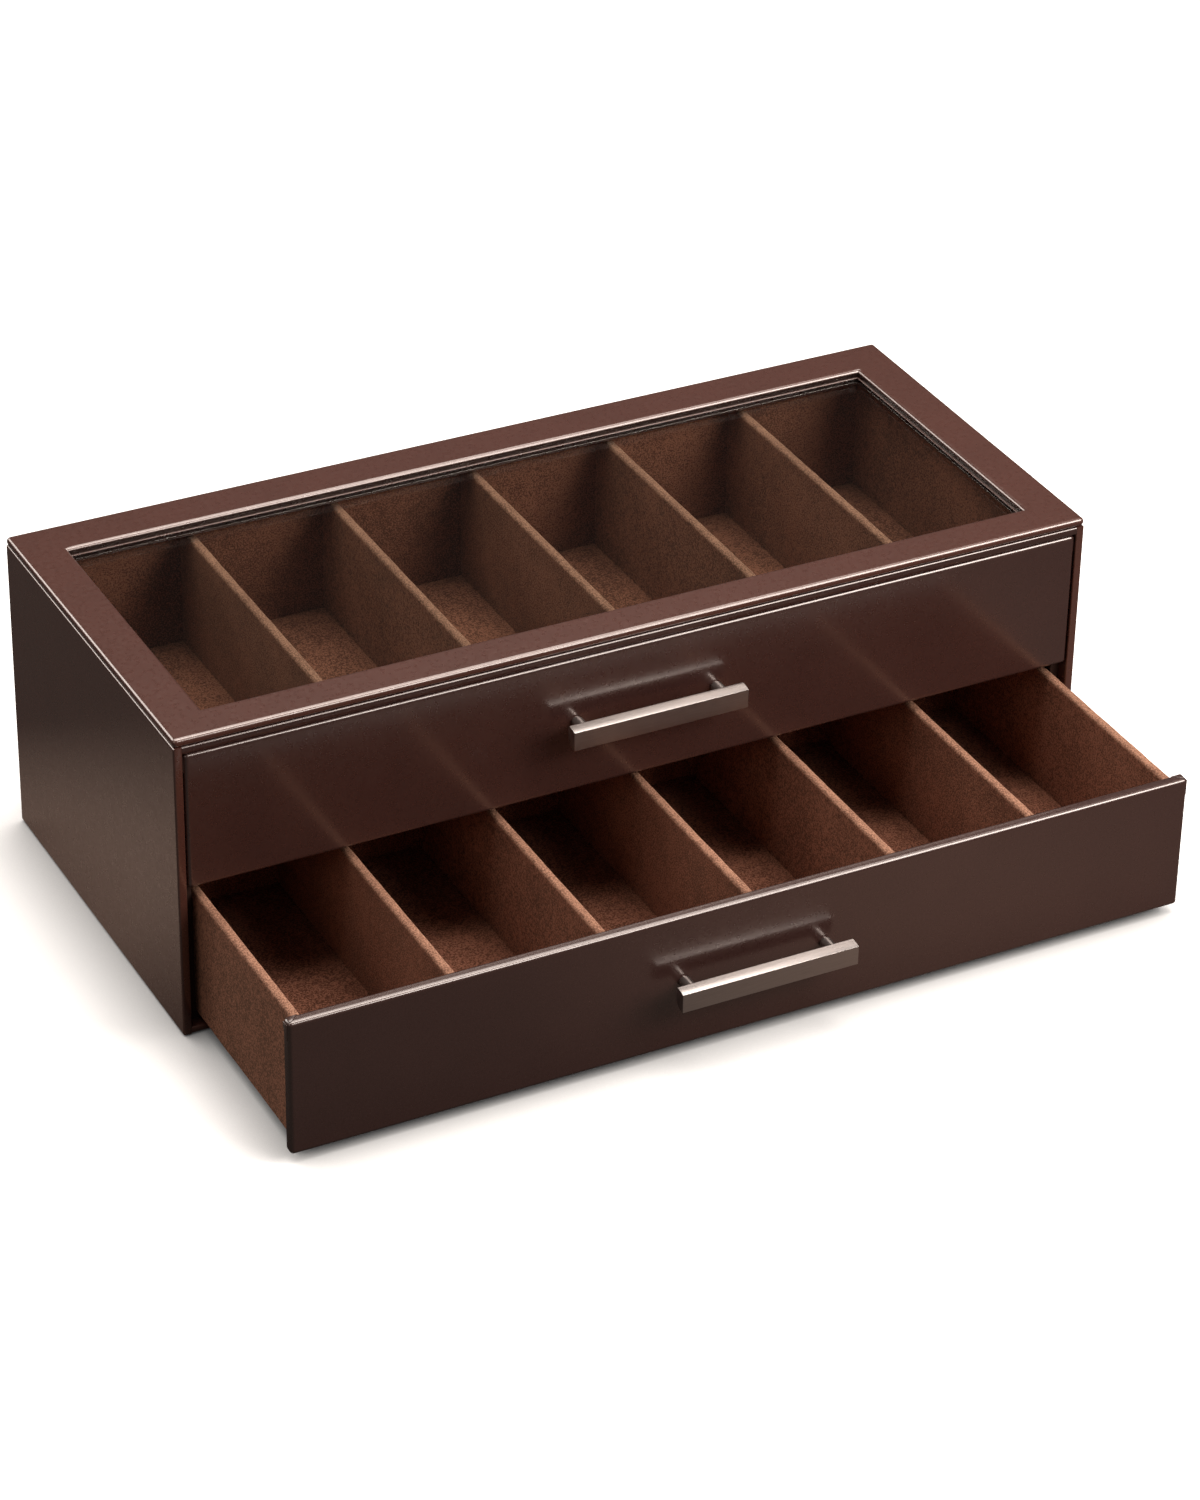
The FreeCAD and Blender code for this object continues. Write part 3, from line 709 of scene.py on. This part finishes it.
# Slot floors: one board under each drawer, with a suede-covered card laid in each slot, so that the
# cloth stands a little proud and dips where it meets the dividers.
CARD_PLAY = 0.5 * MM
CARD_RISE = 0.5 * MM
for tier in ("lower", "upper"):
    floor_low, floor_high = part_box(f"{tier}_floor")
    back_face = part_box(f"{tier}_back_wall")[0][1]
    board_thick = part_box(f"{tier}_divider_1")[1][0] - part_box(f"{tier}_divider_1")[0][0]
    divider_xs = [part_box(f"{tier}_divider_{number}")[0][0] for number in range(1, SLOTS)]
    bed = block(f"{tier}_floor_suede", floor_low, floor_high)
    cut_along("x", [place for low in divider_xs for place in (low, low + board_thick)])
    cut_along("y", [back_face])

    def on_slot(mid, normal):
        under_divider = any(low < mid.x < low + board_thick for low in divider_xs)
        return normal.z > 0.9 and mid.y < back_face and not under_divider

    pick(bed, "faces", on_slot)
    bpy.ops.mesh.inset(thickness=CARD_PLAY, use_individual=True)
    bpy.ops.mesh.inset(thickness=0.3 * MM, depth=CARD_RISE, use_individual=True)
    bpy.ops.mesh.inset(thickness=4 * MM, depth=0.25 * MM, use_individual=True)
    cut_along("x", steps(floor_low[0], floor_high[0], 7 * MM))
    cut_along("y", steps(floor_low[1], floor_high[1], 7 * MM))
    finish_suede(bed, tier, 1.0, f"{tier}_floor")

# Fronts: 6 mm boards wrapped in the case's leatherette, drawn with a darker copy of it as painted shade for
# the less lit fronts. The skin is folded over the corners like a parcel and glued down behind, under a suede
# lining in each slot.
FRONT_ROUND = 1.8 * MM
FOLD_THICK = 0.3 * MM
LINING_THICK = 0.6 * MM
# Darker copy of the case leatherette: painted shade for the fronts.
front_shade_leather = leatherette("front_shade_leatherette", (0.033, 0.0134, 0.0113), (0.026, 0.0104, 0.0087), 1.3)
for tier in ("lower", "upper"):
    front_low, front_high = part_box(f"{tier}_front")
    front = block(f"{tier}_front_wrap", front_low, front_high)
    round_off(front, FRONT_ROUND, 6, lambda mid, way: True)
    cut_along("x", steps(front_low[0], front_high[0], 14 * MM, FRONT_ROUND + HOLD))
    cut_along("z", steps(front_low[2], front_high[2], 12 * MM, FRONT_ROUND + HOLD))
    ripple(front, WAVE, 0.045)
    folds = []
    for side in (-1, 1):
        outer = side * front_high[0]
        tuck_xs = sorted((outer - side * 0.1 * MM, outer + side * FOLD_THICK))
        tuck_low = Vector((tuck_xs[0], front_low[1] + 1.2 * MM, front_high[2] - 9 * MM))
        tuck_high = Vector((tuck_xs[1], front_high[1] - 1.0 * MM, front_high[2] - 1.2 * MM))
        tuck = block(f"{tier}_tuck", tuck_low, tuck_high)
        pick(tuck, "edges", lambda mid, way: near(mid.z, tuck_low.z) and near(mid.y, tuck_high.y))
        bpy.ops.transform.translate(value=(0, 0, 5 * MM))
        round_off(tuck, 0.14 * MM, 2, lambda mid, way: near(mid.x, tuck_xs[0 if side < 0 else 1]))
        bpy.ops.object.mode_set(mode="OBJECT")
        folds.append(tuck)
        lap_xs = sorted((outer, outer - side * 7 * MM))
        lap_low = Vector((lap_xs[0], front_low[1] + 1.2 * MM, front_high[2] - 0.1 * MM))
        lap_high = Vector((lap_xs[1], front_high[1] - 1.0 * MM, front_high[2] + FOLD_THICK))
        lap_low.x += 1.0 * MM
        lap_high.x -= 1.0 * MM
        lap = block(f"{tier}_lap", lap_low, lap_high)
        inner_x = lap_high.x if side < 0 else lap_low.x
        pick(lap, "edges", lambda mid, way: near(mid.x, inner_x) and near(mid.y, lap_low.y))
        bpy.ops.transform.translate(value=(side * 4 * MM, 0, 0))
        round_off(lap, 0.14 * MM, 2, lambda mid, way: near(mid.z, lap_high.z))
        bpy.ops.object.mode_set(mode="OBJECT")
        folds.append(lap)
    bpy.ops.object.select_all(action="DESELECT")
    for fold in folds:
        fold.select_set(True)
    front.select_set(True)
    bpy.context.view_layer.objects.active = front
    bpy.ops.object.join()
    dress(front, front_shade_leather, "front_wrap", f"{tier}_drawer", f"{tier}_front")

    wall_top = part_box(f"{tier}_left_wall")[1][2]
    card_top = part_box(f"{tier}_floor")[1][2] + CARD_RISE
    slot_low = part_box(f"{tier}_left_wall")[1][0]
    slot_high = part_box(f"{tier}_divider_1")[0][0]
    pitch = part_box(f"{tier}_divider_2")[0][0] - slot_high
    panel_low = (slot_low + 0.6 * MM, front_high[1] - 0.1 * MM, card_top + 0.6 * MM)
    panel_high = (slot_high - 0.6 * MM, front_high[1] + LINING_THICK, wall_top - 2.5 * MM)
    panel = block(f"{tier}_lining_suede", panel_low, panel_high)
    round_off(panel, 0.35 * MM, 3, lambda mid, way: near(mid.y, panel_high[1]))
    cut_along("x", steps(panel_low[0], panel_high[0], 8 * MM))
    cut_along("z", steps(panel_low[2], panel_high[2], 8 * MM))
    bpy.ops.object.mode_set(mode="OBJECT")
    linings = [panel] + [copy_of(panel, f"{tier}_lining_{number}", (number * pitch, 0, 0))
                         for number in range(1, SLOTS)]
    bpy.ops.object.select_all(action="DESELECT")
    for lining in linings:
        lining.select_set(True)
    bpy.context.view_layer.objects.active = panel
    bpy.ops.object.join()
    finish_suede(panel, tier, 1.0)

# Handles: a solid bar of brushed nickel, flat in front, crowned on top and curved away behind and below,
# on two turned posts. Each post is held by a cross-head screw from inside the drawer.
BAR_ROUND = 5.0 * MM
BACK_EDGE_ROUND = 0.9 * MM
BAR_BEVEL = 0.15 * MM
BAR_CROWN = 0.8 * MM
POST_FOOT = 0.45 * MM
HEAD_DOME = 0.7 * MM


def brushed_nickel():
    """Warm nickel plate, brushed along the bar."""
    material, shader, add, link = shader_nodes("brushed_nickel")
    place = add("ShaderNodeTexCoord")
    along = add("ShaderNodeMapping")
    along.inputs["Scale"].default_value = (0.03, 1.0, 1.0)
    link(place.outputs["Object"], along.inputs["Vector"])
    scratches = add("ShaderNodeTexNoise", Scale=3200.0, Detail=3.0, Roughness=0.65)
    drift = add("ShaderNodeTexNoise", Scale=120.0, Detail=2.0)
    for texture in (scratches, drift):
        link(along.outputs[0], texture.inputs["Vector"])
    shade = add("ShaderNodeMix", data_type="RGBA")
    shade.inputs[6].default_value = (0.36, 0.327, 0.312, 1)
    shade.inputs[7].default_value = (0.54, 0.494, 0.475, 1)
    link(scratches.outputs[0], shade.inputs[0])
    link(shade.outputs[2], shader.inputs["Base Color"])
    gloss = add("ShaderNodeMapRange", To_Min=0.28, To_Max=0.35)
    link(drift.outputs[0], gloss.inputs["Value"])
    link(gloss.outputs[0], shader.inputs["Roughness"])
    shader.inputs["Metallic"].default_value = 1.0
    shader.inputs["Anisotropic"].default_value = 0.3
    across = add("ShaderNodeTangent", direction_type="RADIAL", axis="X")
    link(across.outputs[0], shader.inputs["Tangent"])
    raised = add("ShaderNodeBump", Strength=0.35, Distance=0.00008)
    link(scratches.outputs[0], raised.inputs["Height"])
    link(raised.outputs[0], shader.inputs["Normal"])
    return material


def screw_steel():
    """Bright zinc plate, faintly clouded."""
    material, shader, add, link = shader_nodes("zinc_plate")
    place = add("ShaderNodeTexCoord")
    clouds = add("ShaderNodeTexNoise", Scale=500.0, Detail=3.0)
    shade = add("ShaderNodeMix", data_type="RGBA")
    shade.inputs[6].default_value = (0.45, 0.46, 0.48, 1)
    shade.inputs[7].default_value = (0.68, 0.69, 0.70, 1)
    link(place.outputs["Object"], clouds.inputs["Vector"])
    link(clouds.outputs[0], shade.inputs[0])
    link(shade.outputs[2], shader.inputs["Base Color"])
    gloss = add("ShaderNodeMapRange", To_Min=0.2, To_Max=0.4)
    link(clouds.outputs[0], gloss.inputs["Value"])
    link(gloss.outputs[0], shader.inputs["Roughness"])
    shader.inputs["Metallic"].default_value = 1.0
    return material


nickel = brushed_nickel()
zinc = screw_steel()


def turned(name, radius, start, end, x, z, sides):
    """A round bar that lies along Y, left in edit mode with its place in its mesh."""
    bpy.ops.object.select_all(action="DESELECT")
    bpy.ops.mesh.primitive_cylinder_add(vertices=sides, radius=radius, depth=end - start,
                                        location=(x, (start + end) / 2, z), rotation=(math.pi / 2, 0, 0))
    piece = bpy.context.object
    piece.name = piece.data.name = name
    bpy.ops.object.transform_apply(location=True, rotation=True, scale=True)
    bpy.ops.object.mode_set(mode="EDIT")
    return piece


for tier in ("lower", "upper"):
    drawer = f"{tier}_drawer"
    bar_low, bar_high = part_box(f"{tier}_handle_bar")
    bar = block(f"{tier}_bar", bar_low, bar_high)
    round_off(bar, BAR_ROUND, 9, lambda mid, way: near(mid.y, bar_high[1]) and near(mid.z, bar_low[2])
              and abs(way.x) > 0.9)
    round_off(bar, BACK_EDGE_ROUND, 4, lambda mid, way: near(mid.y, bar_high[1]) and near(mid.z, bar_high[2])
              and abs(way.x) > 0.9)
    round_off(bar, BAR_BEVEL, 3, lambda mid, way: near(mid.y, bar_low[1]) or (
        abs(abs(mid.x) - bar_high[0]) < 0.01 * MM and abs(way.x) < 0.1))
    strips = steps(bar_low[1], bar_high[1], 1 * MM)
    cut_along("y", strips)
    for place in (bar_low[1], *strips):
        reach = 1.2 * BAR_BEVEL if place == bar_low[1] else 0.01 * MM
        share = (bar_high[1] - place) / (bar_high[1] - bar_low[1])
        pick(bar, "edges", lambda mid, way: abs(mid.y - place) < reach and mid.z > bar_high[2] - 1.2 * BAR_BEVEL)
        bpy.ops.transform.translate(value=(0, 0, -BAR_CROWN * share ** 2))
    pick(bar, "faces", lambda mid, normal: normal.y < -0.999)
    bpy.ops.mesh.inset(thickness=HOLD)
    dress(bar, nickel, "brushed_nickel", drawer, f"{tier}_handle_bar")

    front_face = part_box(f"{tier}_front")[0][1]
    for side in ("left", "right"):
        post_low, post_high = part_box(f"{tier}_{side}_handle_post")
        x, z = (post_low[0] + post_high[0]) / 2, (post_low[2] + post_high[2]) / 2
        radius = (post_high[0] - post_low[0]) / 2
        post = turned(f"{tier}_{side}_post", radius, post_low[1], post_high[1], x, z, 48)
        pick(post, "faces", lambda mid, normal: normal.y > 0.9)
        bpy.ops.mesh.inset(thickness=0.05 * MM)
        cut_along("y", [post_high[1] - 0.9 * MM, post_high[1] - 0.6 * MM])
        pick(post, "faces", lambda mid, normal: mid.y > post_high[1] - 0.62 * MM)
        narrow = (radius - POST_FOOT) / radius
        bpy.ops.transform.resize(value=(narrow, 1, narrow), center_override=(x, post_high[1], z))
        dress(post, nickel, "brushed_nickel", drawer, f"{tier}_{side}_handle_post")

    screw_low, screw_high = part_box(f"{tier}_handle_screws")
    head_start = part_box(f"{tier}_front")[1][1]
    head_radius = (screw_high[2] - screw_low[2]) / 2
    screw_z = (screw_high[2] + screw_low[2]) / 2
    screw_x = screw_high[0] - head_radius
    head = turned(f"{tier}_screw_heads", head_radius, head_start, screw_high[1], screw_x, screw_z, 40)
    round_off(head, HEAD_DOME, 4, lambda mid, way: near(mid.y, screw_high[1]))
    pick(head, "faces", lambda mid, normal: mid.y < head_start + 0.01 * MM and normal.y < -0.9)
    bpy.ops.mesh.inset(thickness=head_radius - 2 * MM)
    bpy.ops.mesh.extrude_region_move(TRANSFORM_OT_translate={"value": (0, screw_low[1] - head_start, 0)})
    bpy.ops.object.mode_set(mode="OBJECT")
    for size in ((3.6 * MM, 0.9 * MM), (0.9 * MM, 3.6 * MM)):
        slot_cut = block("cross_slot", (screw_x - size[0] / 2, screw_high[1] - 1.1 * MM, screw_z - size[1] / 2),
                         (screw_x + size[0] / 2, screw_high[1] + 1 * MM, screw_z + size[1] / 2))
        bpy.ops.object.mode_set(mode="OBJECT")
        bpy.ops.object.select_all(action="DESELECT")
        head.select_set(True)
        bpy.context.view_layer.objects.active = head
        carve = head.modifiers.new("cross", "BOOLEAN")
        carve.operation = "DIFFERENCE"
        carve.object = slot_cut
        carve.solver = "EXACT"
        bpy.ops.object.modifier_apply(modifier=carve.name)
        bpy.data.objects.remove(slot_cut)
    second = copy_of(head, f"{tier}_second_head", (-2 * screw_x, 0, 0))
    head.select_set(True)
    second.select_set(True)
    bpy.context.view_layer.objects.active = head
    bpy.ops.object.join()
    dress(head, zinc, "screw_steel", drawer, f"{tier}_handle_screws")
